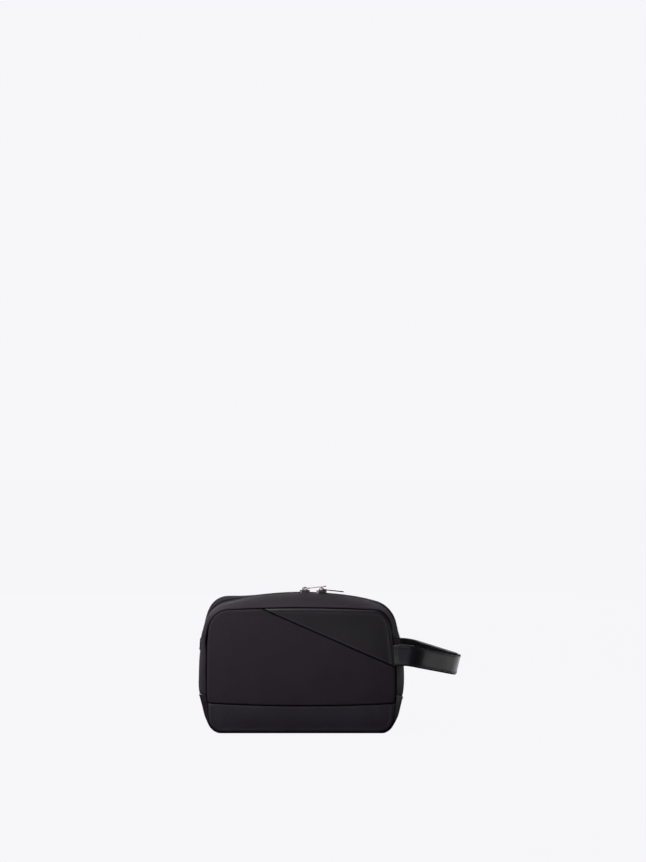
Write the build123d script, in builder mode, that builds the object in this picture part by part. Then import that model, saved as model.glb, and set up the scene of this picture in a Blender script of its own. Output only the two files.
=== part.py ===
"""Shaving kit bag: a zipped wash bag with foam-backed nylon and leather walls and a wrist strap.

Frame: X across the bag, -Y is the front, +Z up. The origin is the centre of the flat base.
The front and back walls are flat stacks of skin, padding and lining. The gusset runs round
between them: a leather base, nylon sides, and two strips that a zip joins along the domed top.
The strips, tapes and coils fold where the mouth opens, so each is cut at the mouth's ends.
"""
import os
from math import cos, sin

from build123d import *

# ---- driving dimensions, millimetres ----
BODY_HALF_W = 122.3      # half the width at mid depth
WAIST_X, WAIST_Z = 120.5, 90.0     # where the sides start to lean in
SHOULDER_X = 112.0       # sides and top would meet here without their rounding
PANEL_HALF_W = 110.3     # half the width of the front and back walls
SEAM_Y = 46.0            # depth at which the gusset meets the walls
TOP_Z = 163.0            # top of the dome, at the zip
PANEL_TOP_Z = 148.5      # top of the front and back walls
ZIP_RADIUS = 380.0       # radius of the domed zip line, about an axis along Y
BASE_SEAM_Z = 42.0       # top edge of the leather base on the sides
BAND_SEAM_Z = 36.5       # top edge of the leather band on the walls
ZIP_END_Z = 108.0        # where the zip ends, on both sides
MOUTH_HALF_L = 82.0      # half the length of the part of the zip that opens
STRIP_EDGE_Y = 9.5       # edge of the nylon strips beside the zip
SKIN = 1.4               # nylon or leather
PADDING = 2.3
LINING = 0.8
GAP = 0.15               # half the clearance where cut pieces meet

# corner panel: the diagonal seam on the front, from near the top to the right edge
SEAM_START = Vector(-49.0, 147.5)
SEAM_END = Vector(109.5, 78.0)

# zip
TAPE_T = 0.7
STRIP_LINING_Y = 16.3    # edge of the lining beside the zip
CHAIN_GAP_Y = 0.6        # half the slot between the coils
COIL_Y = 3.1
COIL_H = 2.4
SLIDER_L = 12.0
SLIDER_HALF_W = 5.2
LEFT_SLIDER_X = 4.0      # distance along the zip from the top of the dome
RIGHT_SLIDER_X = 24.0
PULL_L = 27.0            # from the pivot to the tip
PULL_W = 4.6
PULL_T = 1.4
PULL_HEAD_W = 6.6
PIVOT_X = -0.4           # pull pivot, from the slider's middle
PIVOT_H = 5.1            # above the tape
LEFT_PULL_YAW, LEFT_PULL_TILT = -18.0, 8.0
RIGHT_PULL_YAW, RIGHT_PULL_TILT = 8.0, -3.0

# wrist strap
STRAP_W = 24.6
STRAP_T = 1.3            # each of its two layers
STRAP_Z = 91.5
STRAP_Y = 46.2           # inner face of the strap where it leaves the seams
STRAP_ROOT_X = 110.6
STRAP_TIP_X = 197.5      # where the two legs would meet without the round end
STRAP_HINGE_X = 127.0
STRAP_DROOP = 14.5       # degrees below level

os.makedirs("parts", exist_ok=True)
ZIP_CENTRE_Z = TOP_Z - ZIP_RADIUS
FAR = 300.0
DEPTH = (-SEAM_Y - 1, SEAM_Y + 1)
BASE_TRIM = 0.25         # taken off the base so that it is truly flat
FRONT, BACK = -1, 1


def save(part, name):
    part.label = name
    export_step(part, f"parts/{name}.step")


# ---- outlines of the bag, seen from the front ----
def outline(points, top_z, radii, inset=0.0):
    """A closed outline: the right side's corners, mirrored, with an arc over the top."""
    left = [(-x, z) for x, z in reversed(points)]
    with BuildSketch() as sketch:
        with BuildLine():
            Polyline(*left, *points)
            ThreePointArc(points[-1], (0, top_z), left[0])
        make_face()
        for (x, z), radius in zip(points, radii):
            corners = sketch.vertices().filter_by(
                lambda v, x=x, z=z: abs(abs(v.X) - x) < 1e-3 and abs(v.Y - z) < 1e-3
            )
            fillet(corners, radius)
        if inset:
            offset(amount=-inset)
    return sketch.sketch


def seam_outline(inset=0.0, base_z=0.0):
    points = [(106, base_z), (PANEL_HALF_W, 50), (PANEL_HALF_W, 105), (107, 144)]
    return outline(points, PANEL_TOP_Z, (26, 60, 60, 26), inset)


def middle_outline(inset=0.0, base_z=0.0):
    corner_z = ZIP_CENTRE_Z + (ZIP_RADIUS**2 - SHOULDER_X**2) ** 0.5
    points = [(112, base_z), (BODY_HALF_W, 48), (WAIST_X, WAIST_Z), (SHOULDER_X, corner_z)]
    return outline(points, TOP_Z, (34, 80, 80, 34), inset)


def wall_plane(y):
    """A plane facing the front at depth y, with its own x along X and its own y along Z."""
    return Plane.XZ.offset(-y)


def gusset_body(inset):
    """The full bag between the seams, shrunk by inset all round, with its base cut flat."""
    with BuildPart() as body:
        for y in (-SEAM_Y, 0, SEAM_Y):
            section = middle_outline if y == 0 else seam_outline
            with BuildSketch(wall_plane(y)):
                add(section(inset, -BASE_TRIM))
        loft()
        keep_box((-FAR, FAR), DEPTH, (inset, FAR))
    return body.part


def gusset_layer(outer, inner):
    """A thin layer of the gusset, between two depths under its outer surface."""
    with BuildPart() as layer:
        add(gusset_body(outer))
        add(gusset_body(inner), mode=Mode.SUBTRACT)
    return layer.part


def keep_box(x, y, z):
    """Keeps the part inside a box given by its limits along X, Y and Z."""
    size = [hi - lo for lo, hi in (x, y, z)]
    centre = [(hi + lo) / 2 for lo, hi in (x, y, z)]
    with Locations(tuple(centre)):
        Box(*size, mode=Mode.INTERSECT)


skin_layer = gusset_layer(0, SKIN)
lining_layer = gusset_layer(SKIN + 0.1, SKIN + 0.1 + LINING)

# ---- leather base, lining and board ----
with BuildPart() as base_gusset:
    add(skin_layer)
    keep_box((-FAR, FAR), DEPTH, (-1, BASE_SEAM_Z - GAP))
save(base_gusset.part, "base_gusset")

with BuildPart() as gusset_lining:
    add(lining_layer)
    keep_box((-FAR, FAR), DEPTH, (-1, ZIP_END_Z - GAP))
save(gusset_lining.part, "gusset_lining")

BOARD_Z = SKIN + LINING + 0.3
with BuildPart() as base_board:
    with BuildSketch(Plane.XY.offset(BOARD_Z)):
        RectangleRounded(168, 2 * SEAM_Y - 8, 8)
    extrude(amount=1.2)
save(base_board.part, "base_board")

# ---- nylon sides and the strips beside the zip ----
for name, x in (("left_side_gusset", (-FAR, 0)), ("right_side_gusset", (0, FAR))):
    with BuildPart() as side_gusset:
        add(skin_layer)
        keep_box(x, DEPTH, (BASE_SEAM_Z + GAP, ZIP_END_Z - GAP))
    save(side_gusset.part, name)

SHOULDERS = ((-FAR, -MOUTH_HALF_L - GAP), (MOUTH_HALF_L + GAP, FAR))
MOUTH = (-MOUTH_HALF_L + GAP, MOUTH_HALF_L - GAP)
ABOVE_ZIP_END = (ZIP_END_Z + GAP, FAR)


def strip_depth(side, inner=STRIP_EDGE_Y):
    """The limits along Y of a strip on the front or the back."""
    return tuple(sorted((side * inner, side * (SEAM_Y + 1))))


def both_shoulders(layer, side, inner=STRIP_EDGE_Y):
    """The two ends of a strip, from the mouth round the shoulders to the zip's end."""
    halves = []
    for x in SHOULDERS:
        with BuildPart() as half:
            add(layer)
            keep_box(x, strip_depth(side, inner), ABOVE_ZIP_END)
        halves.append(half.part.solid())
    return Compound(children=halves)


for word, side in (("front", FRONT), ("back", BACK)):
    with BuildPart() as zip_strip:
        add(skin_layer)
        keep_box(MOUTH, strip_depth(side), (TOP_Z / 2, FAR))
    save(zip_strip.part, f"{word}_zip_strip")

    with BuildPart() as strip_lining:
        add(lining_layer)
        keep_box(MOUTH, strip_depth(side, STRIP_LINING_Y), (TOP_Z / 2, FAR))
    save(strip_lining.part, f"{word}_strip_lining")

    save(both_shoulders(skin_layer, side), f"{word}_shoulder_strips")
    save(both_shoulders(lining_layer, side, STRIP_LINING_Y), f"{word}_shoulder_linings")


# ---- zip tapes and coils: thin rings along the zip line, cut where the mouth folds ----
TAPE_TOP = 1.7           # the tape's upper face, under the outer surface at the zip


def zip_ring(outer, inner, side, y_limits):
    """A ring round the bag along the zip line, between two insets, on one side of the slot."""
    near, far = y_limits
    with BuildPart() as ring:
        with BuildSketch(wall_plane(side * near)) as profile:
            add(middle_outline(outer))
            add(middle_outline(inner), mode=Mode.SUBTRACT)
        extrude(amount=-side * (far - near))
    return ring.part


def zip_piece(ring, x):
    with BuildPart() as piece:
        add(ring)
        keep_box(x, (-SEAM_Y, SEAM_Y), ABOVE_ZIP_END)
    return piece.part


for word, side in (("front", FRONT), ("back", BACK)):
    tape_ring = zip_ring(TAPE_TOP, TAPE_TOP + TAPE_T, side, (CHAIN_GAP_Y, STRIP_EDGE_Y - 0.1))
    coil_ring = zip_ring(TAPE_TOP - COIL_H, TAPE_TOP, side, (CHAIN_GAP_Y, COIL_Y))
    save(zip_piece(tape_ring, MOUTH), f"{word}_zip_tape")
    save(zip_piece(coil_ring, MOUTH), f"{word}_zip_coil")
    for kind, ring in (("tape", tape_ring), ("coil", coil_ring)):
        ends = [zip_piece(ring, x).solid() for x in SHOULDERS]
        save(Compound(children=ends), f"{word}_zip_{kind}_ends")

# ---- front and back walls: skin, padding, lining ----
WALL_FACE = SEAM_Y + PADDING + SKIN + 0.2
seam_run = SEAM_END - SEAM_START
seam_normal = Vector(-seam_run.Y, seam_run.X).normalized()


def wall_slab(side, inset, near, far, region=None):
    """A slab of the wall's outline between two distances from the middle of the bag."""
    with BuildPart() as slab:
        with BuildSketch(wall_plane(side * near)):
            add(seam_outline(inset))
            if region is not None:
                add(region, mode=Mode.INTERSECT)
        extrude(amount=-side * (far - near))
    return slab.part


def band_region(low, high):
    with BuildSketch() as region:
        with Locations((0, (low + high) / 2)):
            Rectangle(2 * FAR, high - low)
    return region.sketch


def beside_seam(sign):
    """The half plane above (1) or below (-1) the diagonal seam and above the band."""
    shift = seam_normal * (sign * GAP)
    start = SEAM_START - seam_run + shift
    end = SEAM_END + seam_run + shift
    with BuildSketch() as region:
        with BuildLine():
            Polyline(
                (start.X, start.Y),
                (end.X, end.Y),
                (end.X + seam_normal.X * sign * FAR * 2, end.Y + seam_normal.Y * sign * FAR * 2),
                (start.X + seam_normal.X * sign * FAR * 2, start.Y + seam_normal.Y * sign * FAR * 2),
                close=True,
            )
        make_face()
        add(band_region(BAND_SEAM_Z + GAP, FAR), mode=Mode.INTERSECT)
    return region.sketch


skin_span = (WALL_FACE - SKIN, WALL_FACE)
save(wall_slab(FRONT, 0, *skin_span, beside_seam(-1)), "front_main_panel")
save(wall_slab(FRONT, 0, *skin_span, beside_seam(1)), "front_corner_panel")
save(wall_slab(FRONT, 0, *skin_span, band_region(-1, BAND_SEAM_Z - GAP)), "front_lower_band")
save(wall_slab(BACK, 0, *skin_span, band_region(BAND_SEAM_Z + GAP, FAR)), "back_main_panel")
save(wall_slab(BACK, 0, *skin_span, band_region(-1, BAND_SEAM_Z - GAP)), "back_lower_band")

GUSSET_T = SKIN + LINING + 0.3
for word, side in (("front", FRONT), ("back", BACK)):
    padding_span = (SEAM_Y + 0.1, SEAM_Y + 0.1 + PADDING)
    save(wall_slab(side, 1.0, *padding_span), f"{word}_padding")
    lining_span = (SEAM_Y - LINING, SEAM_Y)
    save(wall_slab(side, GUSSET_T, *lining_span), f"{word}_lining")

# ---- binding tape over the raw seams inside, stopping below the mouth ----
for word, side in (("front", FRONT), ("back", BACK)):
    with BuildPart() as seam_binding:
        with BuildSketch(wall_plane(side * (SEAM_Y - LINING - 9))):
            add(seam_outline(GUSSET_T + 2.6))
            add(seam_outline(GUSSET_T + 3.6), mode=Mode.SUBTRACT)
            add(band_region(GUSSET_T + 2.6 + 2, PANEL_TOP_Z - 18), mode=Mode.INTERSECT)
        extrude(amount=-side * 8.8)
    save(Compound(children=seam_binding.part.solids()), f"{word}_seam_binding")

# ---- slip pocket on the back lining, with an elastic top hem ----
POCKET_HALF_W, POCKET_LOW, POCKET_HIGH = 92.0, 16.0, 98.0
POCKET_DEPTH, POCKET_T = 5.0, 0.7
POCKET_Y = SEAM_Y - LINING - POCKET_DEPTH
with BuildPart() as inner_pocket:
    with BuildSketch(wall_plane(POCKET_Y)):
        with Locations((0, (POCKET_LOW + POCKET_HIGH) / 2)):
            Rectangle(2 * POCKET_HALF_W, POCKET_HIGH - POCKET_LOW)
    extrude(amount=POCKET_T)
    with BuildSketch(wall_plane(POCKET_Y)):
        with Locations((0, (POCKET_LOW + POCKET_HIGH) / 2)):
            Rectangle(2 * POCKET_HALF_W, POCKET_HIGH - POCKET_LOW)
        with Locations((0, (POCKET_LOW + POCKET_HIGH) / 2 + POCKET_T)):
            Rectangle(2 * (POCKET_HALF_W - POCKET_T), POCKET_HIGH - POCKET_LOW, mode=Mode.SUBTRACT)
    extrude(amount=-POCKET_DEPTH)
save(inner_pocket.part, "inner_pocket")

with BuildPart() as pocket_elastic:
    with BuildSketch(wall_plane(POCKET_Y)):
        with Locations((0, POCKET_HIGH + 4.1)):
            Rectangle(2 * POCKET_HALF_W, 8)
    extrude(amount=1.2)
save(pocket_elastic.part, "pocket_elastic")

# ---- small leather tabs that finish the zip, one on each side ----
TAB_Z = ZIP_END_Z - 7.5
SIDE_LEAN = (WAIST_X - SHOULDER_X) / (TOP_Z - 17 - WAIST_Z)
TAB_X = WAIST_X - SIDE_LEAN * (TAB_Z - WAIST_Z) + 0.6
for name, sign in (("left_zip_tab", -1), ("right_zip_tab", 1)):
    plane = Plane(origin=(sign * TAB_X, 0, TAB_Z), x_dir=(0, sign, 0), z_dir=(sign, 0, SIDE_LEAN))
    with BuildPart() as zip_tab:
        with BuildSketch(plane):
            RectangleRounded(22, 14, 3)
        extrude(amount=1.1)
    save(zip_tab.part, name)


# ---- zip sliders ----
def zip_plane(distance):
    """A plane on top of the zip tape: its own x along the zip, y across it, z outward."""
    angle = distance / ZIP_RADIUS
    radius = ZIP_RADIUS - TAPE_TOP
    origin = (radius * sin(angle), 0, ZIP_CENTRE_Z + radius * cos(angle))
    return Plane(origin=origin, x_dir=(cos(angle), 0, -sin(angle)), z_dir=(sin(angle), 0, cos(angle)))


def rounded_plate(length, half_width, radius):
    with BuildSketch() as plate:
        RectangleRounded(length, 2 * half_width, radius)
    return plate.sketch


def slider_body():
    """Two plates joined by the thin post between the coils, with flanges beside the coils."""
    plate = rounded_plate(SLIDER_L, SLIDER_HALF_W, 2.4)
    with BuildPart() as body:
        with BuildSketch(Plane.XY.offset(COIL_H + 0.3)):
            add(plate)
        extrude(amount=1.3)
        fillet(body.faces().sort_by(Axis.Z)[-1].edges(), 0.5)
        with BuildSketch(Plane.XY.offset(-TAPE_T - 1.6)):
            add(plate)
        extrude(amount=1.2)
        with BuildSketch(Plane.XY.offset(0.4)):
            add(plate)
            Rectangle(SLIDER_L + 1, 2 * COIL_Y + 0.8, mode=Mode.SUBTRACT)
        extrude(amount=COIL_H)
        with BuildSketch(Plane.XY.offset(-TAPE_T - 1)):
            with Locations((3.2, 0)):
                Rectangle(3.0, 0.7)
        extrude(amount=COIL_H + TAPE_T + 2)
    return body.part


CROWN_L, CROWN_HALF_W, CROWN_TOP = 6.4, 0.9, 7.4
PLATE_TOP = COIL_H + 1.6


def slider_crown():
    """The arched bridge on the top plate that holds the pull."""
    with BuildPart() as crown:
        with BuildSketch(Plane.XZ.offset(-CROWN_HALF_W)):
            with BuildLine():
                Polyline((CROWN_L / 2, PLATE_TOP), (-CROWN_L / 2, PLATE_TOP))
                Line((-CROWN_L / 2, PLATE_TOP), (-CROWN_L / 2, PLATE_TOP + 1.2))
                ThreePointArc(
                    (-CROWN_L / 2, PLATE_TOP + 1.2), (0, CROWN_TOP), (CROWN_L / 2, PLATE_TOP + 1.2)
                )
                Line((CROWN_L / 2, PLATE_TOP + 1.2), (CROWN_L / 2, PLATE_TOP))
            make_face()
            with Locations((0, PIVOT_H + 0.05)):
                SlotOverall(4.4, 2.0, mode=Mode.SUBTRACT)
        extrude(amount=2 * CROWN_HALF_W)
    return crown.part


def pull_tab(yaw, tilt):
    """A flat bar with a wide eye: a round pin across the eye sits inside the crown."""
    head_l, eye_l, eye_half_w, pin_r = 8.2, 6.0, 2.2, 0.7
    with BuildPart() as pull:
        with BuildSketch(Plane.XY.offset(-PULL_T / 2)):
            with Locations((head_l / 2 - 0.9, 0)):
                RectangleRounded(head_l, PULL_HEAD_W, 2.0)
            with Locations(((PULL_L + eye_l) / 2, 0)):
                RectangleRounded(PULL_L - eye_l, PULL_W, 1.6)
            with Locations(((eye_l - 1) / 2, 0)):
                Rectangle(eye_l + 1, 2 * eye_half_w, mode=Mode.SUBTRACT)
        extrude(amount=PULL_T)
        with BuildSketch(Plane.XZ.offset(-PULL_HEAD_W / 2 + 0.4)):
            Circle(pin_r)
        extrude(amount=PULL_HEAD_W - 0.8)
    turned = Rot(0, 0, yaw) * Rot(0, -tilt, 0) * pull.part
    return Pos(PIVOT_X, 0, PIVOT_H) * turned


for word, distance, yaw, tilt in (
    ("left", LEFT_SLIDER_X, LEFT_PULL_YAW, LEFT_PULL_TILT),
    ("right", RIGHT_SLIDER_X, RIGHT_PULL_YAW, RIGHT_PULL_TILT),
):
    place = zip_plane(distance).location
    save(place * slider_body(), f"{word}_slider_body")
    save(place * slider_crown(), f"{word}_slider_crown")
    save(place * pull_tab(yaw, tilt), f"{word}_pull_tab")


# ---- wrist strap: a loop of two leather layers, fixed at the roots, free past the hinge ----
def strap_route(shift):
    """The strap's line in plan, moved outward by shift: out of both seams, round the end."""
    legs_y = STRAP_Y + shift
    with BuildLine() as line:
        FilletPolyline(
            (STRAP_ROOT_X, -legs_y),
            (STRAP_HINGE_X + 8, -legs_y),
            (STRAP_TIP_X + shift, 0),
            (STRAP_HINGE_X + 8, legs_y),
            (STRAP_ROOT_X, legs_y),
            radius=[24, 18 + shift, 24],
        )
    return line.wire()


def strap_layer(inner, outer):
    """The full loop of one layer, as a band standing on edge."""
    with BuildPart() as layer:
        with BuildSketch(Plane.XY.offset(STRAP_Z - STRAP_W / 2)):
            with BuildLine():
                add(strap_route(outer))
                ends = strap_route(inner)
                add(ends)
                Line(strap_route(outer) @ 0, ends @ 0)
                Line(strap_route(outer) @ 1, ends @ 1)
            make_face()
        extrude(amount=STRAP_W)
    return layer.part


hinge_location = Pos(STRAP_HINGE_X, 0, STRAP_Z)
droop = hinge_location * Rot(0, STRAP_DROOP, 0) * Pos(-STRAP_HINGE_X, 0, -STRAP_Z)
HINGE_R = STRAP_W / 2
BEND_ROOM = 1.5          # so that the loop's edges clear the roots as it bends
pivot = hinge_location * Rot(90, 0, 0) * Cylinder(HINGE_R + BEND_ROOM, 4 * STRAP_Y)
round_end = hinge_location * Rot(90, 0, 0) * Cylinder(HINGE_R, 4 * STRAP_Y)
beyond = Pos(STRAP_HINGE_X + FAR / 2, 0, STRAP_Z) * Box(FAR, 4 * STRAP_Y, 4 * STRAP_W)
before = Pos(STRAP_HINGE_X - FAR / 2, 0, STRAP_Z) * Box(FAR, 4 * STRAP_Y, 4 * STRAP_W)

for name, inner, outer in (
    ("strap_inner", 0.0, STRAP_T),
    ("strap_outer", STRAP_T + 0.1, 2 * STRAP_T + 0.1),
):
    band = strap_layer(inner, outer)
    save(droop * (band & (beyond + round_end)), name)
    save(Compound(children=(band & (before - pivot)).solids()), f"{name}_roots")
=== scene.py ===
"""Shaving kit bag: the visual model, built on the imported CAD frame.

Lengths in the making are millimetres; meshes are written in metres.
The bag's shape is one function: skin(t, y, h) gives the point at share t of the way round the
outline (0 at the middle of the base, 1/4 at the right side, 1/2 at the top), at depth y, and h
above the gusset's outer surface. Everything sewn on the gusset follows it.
"""

import bmesh
import bpy
import numpy as np
from math import cos, pi, radians, sin
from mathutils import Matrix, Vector, geometry, noise


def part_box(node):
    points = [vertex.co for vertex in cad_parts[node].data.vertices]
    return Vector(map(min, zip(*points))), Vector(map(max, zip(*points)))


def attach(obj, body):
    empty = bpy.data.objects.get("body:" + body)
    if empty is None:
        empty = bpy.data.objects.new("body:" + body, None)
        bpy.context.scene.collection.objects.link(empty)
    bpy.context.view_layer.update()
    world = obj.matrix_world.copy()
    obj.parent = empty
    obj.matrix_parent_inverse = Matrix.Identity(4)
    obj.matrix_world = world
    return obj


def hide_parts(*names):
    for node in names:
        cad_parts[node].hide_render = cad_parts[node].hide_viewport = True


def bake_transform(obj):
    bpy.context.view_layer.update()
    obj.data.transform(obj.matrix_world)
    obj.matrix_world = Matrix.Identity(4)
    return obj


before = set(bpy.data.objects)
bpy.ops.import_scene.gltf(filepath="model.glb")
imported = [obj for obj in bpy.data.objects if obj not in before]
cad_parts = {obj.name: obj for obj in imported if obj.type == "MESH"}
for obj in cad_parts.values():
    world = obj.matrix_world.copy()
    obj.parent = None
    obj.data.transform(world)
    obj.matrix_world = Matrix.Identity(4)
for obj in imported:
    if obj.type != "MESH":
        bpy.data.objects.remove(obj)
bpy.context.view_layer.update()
MM = 0.001
SIDES = (("front", -1), ("back", 1))
ENDS = (("right", 1), ("left", -1))


def low_high(node):
    """A CAD node's box at rest, in millimetres."""
    low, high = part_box(node)
    return np.array(low) / MM, np.array(high) / MM


# ---- sizes read from the frame ----
PANEL_TOP = low_high("front_main_panel")[1][2]
BAND_TOP = low_high("front_lower_band")[1][2]
BASE_TOP = low_high("base_gusset")[1][2]
STRAP_LOW, STRAP_HIGH = low_high("strap_outer_roots")
STRAP_Z = (STRAP_LOW[2] + STRAP_HIGH[2]) / 2
STRAP_W = STRAP_HIGH[2] - STRAP_LOW[2]
SEAM_Y = 46.0            # depth of the seams with the walls
BAG_MID_Z = 80
ZIP_END_Z = low_high("gusset_lining")[1][2] + 0.15
TOP_Z = low_high("front_zip_strip")[1][2] + 0.1


# ---- small helpers ----
def unit(vectors):
    return vectors / np.linalg.norm(vectors, axis=-1, keepdims=True)


def lengths_along(path):
    """The distance from a path's start to each of its points."""
    return np.concatenate([[0], np.cumsum(np.linalg.norm(np.diff(path, axis=0), axis=1))])


def closed(ring):
    return np.concatenate([ring, ring[:1]])


def ring_area(ring):
    """Twice a ring's area, below 0 when it runs clockwise."""
    after = np.roll(ring, -1, 0)
    return (ring[:, 0] * after[:, 1] - after[:, 0] * ring[:, 1]).sum()


def upright(points, y):
    """Flat (x, z) points stood up at depth y."""
    return np.stack([points[:, 0], np.broadcast_to(y, len(points)), points[:, 1]], 1)


# ---- camera: level, in front of the bag ----
CAMERA_POS = (0.0257, -2.8, 0.354)
LENS = 98.25
camera_data = bpy.data.cameras.new("camera")
camera_data.lens = LENS
camera_data.sensor_width = 36.0
camera_data.clip_end = 30.0
camera = bpy.data.objects.new("camera", camera_data)
camera.location = CAMERA_POS
camera.rotation_euler = (radians(90), 0, 0)
bpy.context.scene.collection.objects.link(camera)
bpy.context.scene.camera = camera


# ---- the bag's outlines in the XZ plane, as matched rings of points ----
HALF_STEPS = (24, 26, 30, 16, 34, 16, 20, 34, 60)    # points per straight, fillet, ... and the top arc
RING_N = 2 * sum(HALF_STEPS)


def fillet_points(before, corner, after, radius, steps):
    """Points on the arc that rounds a corner, end points left to the straights."""
    a, c, b = (np.array(p, float) for p in (before, corner, after))
    u, v = unit(a - c), unit(b - c)
    half = np.arccos(np.clip(u @ v, -1, 1)) / 2
    reach = radius / np.tan(half)
    start, end, weight = c + u * reach, c + v * reach, sin(half)
    s = np.linspace(0, 1, steps, endpoint=False)[:, None]
    w0, w1, w2 = (1 - s) ** 2, 2 * s * (1 - s) * weight, s**2
    return start, end, (w0 * start + w1 * c + w2 * end) / (w0 + w1 + w2)


def outline_ring(corners, top_z, radii):
    """The closed outline, from the middle of the base up the right side and down the left."""
    last = np.array(corners[-1], float)
    half_chord, rise = last[0], top_z - last[1]
    arc_r = (half_chord**2 + rise**2) / (2 * rise)
    centre_z = top_z - arc_r
    tangent = np.array([-(last[1] - centre_z), last[0]]) / arc_r
    stops = [np.array((0.0, corners[0][1]))] + [np.array(c, float) for c in corners]
    stops.append(last + tangent * 60)
    half, here = [], stops[0]
    for i, radius in enumerate(radii):
        start, end, bend = fillet_points(stops[i], stops[i + 1], stops[i + 2], radius, HALF_STEPS[2 * i + 1])
        s = np.linspace(0, 1, HALF_STEPS[2 * i], endpoint=False)[:, None]
        half += [here + (start - here) * s, bend]
        here = end
    # from the last fillet along the arc to the top, easing the fillet's end onto the arc
    s = np.linspace(0, 1, HALF_STEPS[-1] + 1)
    x = here[0] * (1 - s)
    z = centre_z + np.sqrt(arc_r**2 - x**2)
    z += (here[1] - z[0]) * (1 - s) ** 3
    half.append(np.stack([x, z], 1)[:-1])
    right = np.concatenate(half)
    left = np.concatenate([[[0.0, top_z]], right[:0:-1] * (-1, 1)])
    return np.concatenate([right, left])


# corners as (x, z) up the right side, the top's height, and the radius at each corner
SEAM_RING = outline_ring([(108, 0), (111.6, 48), (111.6, 105), (108, 144)], PANEL_TOP, (17, 60, 60, 26))
MID_RING = outline_ring([(112, 0), (122.3, 48), (120.5, 90), (112, TOP_Z - 16.9)], TOP_Z, (29, 80, 80, 34))
RING_T = np.arange(RING_N + 1) / RING_N
# how far to either side the skin is probed for its slopes, in shares and in depth
SLOPE_T, PROBE_T, PROBE_Y = 2.5 / RING_N, 1.5 / RING_N, 0.6


def ring_at(ring, t):
    """The ring's point at share t, wrapping round."""
    t = np.mod(t, 1.0)
    return np.stack([np.interp(t, RING_T, closed(ring)[:, i]) for i in (0, 1)], -1)


def bump(value, centre, width):
    return np.exp(-(((value - centre) / width) ** 2))


def smooth(value, low, high):
    s = np.clip((value - low) / (high - low), 0, 1)
    return s * s * (3 - 2 * s)


def swell(x, z, y):
    """How far the soft gusset stands out of the plain loft: shoulders, puffs and dents."""
    left = x < 0
    shoulder = bump(np.abs(x), np.where(left, 97, 106), np.where(left, 27, 21)) * smooth(z, 100, 132)
    # the left shoulder stands fuller than the right
    out = shoulder * np.where(left, 1.2, -2.6) * (1 - (np.abs(y) / SEAM_Y) ** 4)
    # the zip is pulled tight over the shoulders, and the nylon behind it puffs up
    tight = shoulder * bump(y, -4, 14)
    puff = shoulder * bump(y, 20, 13) * np.where(left, smooth(z, 122, 150), 1.0)
    out += np.where(left, -4.4, -2.2) * tight + np.where(left, 5.0, 1.6) * puff
    # the sides sag a little above the base, and stand full at the zip's ends
    flank = smooth(np.abs(x), 95, 108)
    full = np.where(left, 1.9, 0.0) * bump(z, 112, 13) + 0.6 * bump(z, 72, 20)
    out += flank * (full - 0.8 * bump(z, 22, 14))
    return out


def plain_skin(t, y):
    seam, mid = ring_at(SEAM_RING, t), ring_at(MID_RING, t)
    bulge = (1 - np.clip(np.abs(y) / SEAM_Y, 0, 1) ** 2)[..., None]
    return seam + (mid - seam) * bulge


def skin(t, y, h=0.0):
    """Points h above the gusset's outer surface. t, y and h are arrays that broadcast."""
    t, y, h = np.broadcast_arrays(np.asarray(t, float), np.asarray(y, float), np.asarray(h, float))

    def at(t, y):
        p = plain_skin(t, y)
        along = plain_skin(t + SLOPE_T, y) - plain_skin(t - SLOPE_T, y)
        n = unit(np.stack([along[..., 1], -along[..., 0]], -1))
        p = p + n * swell(p[..., 0], p[..., 1], y)[..., None]
        return np.stack([p[..., 0], y, p[..., 1]], -1)

    p = at(t, y)
    du = at(t + PROBE_T, y) - at(t - PROBE_T, y)
    dv = at(t, np.clip(y + PROBE_Y, -SEAM_Y, SEAM_Y)) - at(t, np.clip(y - PROBE_Y, -SEAM_Y, SEAM_Y))
    n = unit(np.cross(dv, du))
    facing = np.sign(n[..., 0] * p[..., 0] + n[..., 2] * (p[..., 2] - BAG_MID_Z))[..., None]
    return p + n * facing * h[..., None]


def noise_at(points, scale, seed=0.0):
    """Smooth noise in -1..1 at points given in millimetres."""
    flat = np.asarray(points, float).reshape(-1, 3)
    found = [noise.noise(Vector((p[0] / scale + seed, p[1] / scale, p[2] / scale))) for p in flat]
    return np.array(found).reshape(np.asarray(points).shape[:-1])


# ---- mesh helpers ----
def make_object(name, verts, faces, uv=None, angle=50, seam_shade=None):
    """A smooth-shaded piece from points in millimetres, with UVs in millimetres.

    The last argument is painted seam shade, 0 to 1: how deep each point lies in a tight seam, where the
    materials darken colour and gloss.
    """
    mesh = bpy.data.meshes.new(name)
    mesh.from_pydata((np.asarray(verts, float).reshape(-1, 3) * MM).tolist(), [], [list(f) for f in faces])
    mesh.update()
    if uv is not None:
        layer = mesh.uv_layers.new(name="UVMap")
        flat = np.asarray(uv, float).reshape(-1, 2)
        loops = np.empty(len(mesh.loops), np.int64)
        mesh.loops.foreach_get("vertex_index", loops)
        layer.data.foreach_set("uv", flat[loops].astype(np.float32).ravel())
    # painted seam shade: a per-point amount that the materials turn into near-black colour and less gloss
    if seam_shade is not None:
        attribute = mesh.attributes.new("seam_shade", "FLOAT", "POINT")
        attribute.data.foreach_set("value", seam_shade.astype(np.float32).ravel())
    bm = bmesh.new()
    bm.from_mesh(mesh)
    bmesh.ops.recalc_face_normals(bm, faces=bm.faces)
    bm.to_mesh(mesh)
    bm.free()
    mesh.polygons.foreach_set("use_smooth", [True] * len(mesh.polygons))
    mesh.set_sharp_from_angle(angle=radians(angle))
    obj = bpy.data.objects.new(name, mesh)
    bpy.context.scene.collection.objects.link(obj)
    return obj


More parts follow.
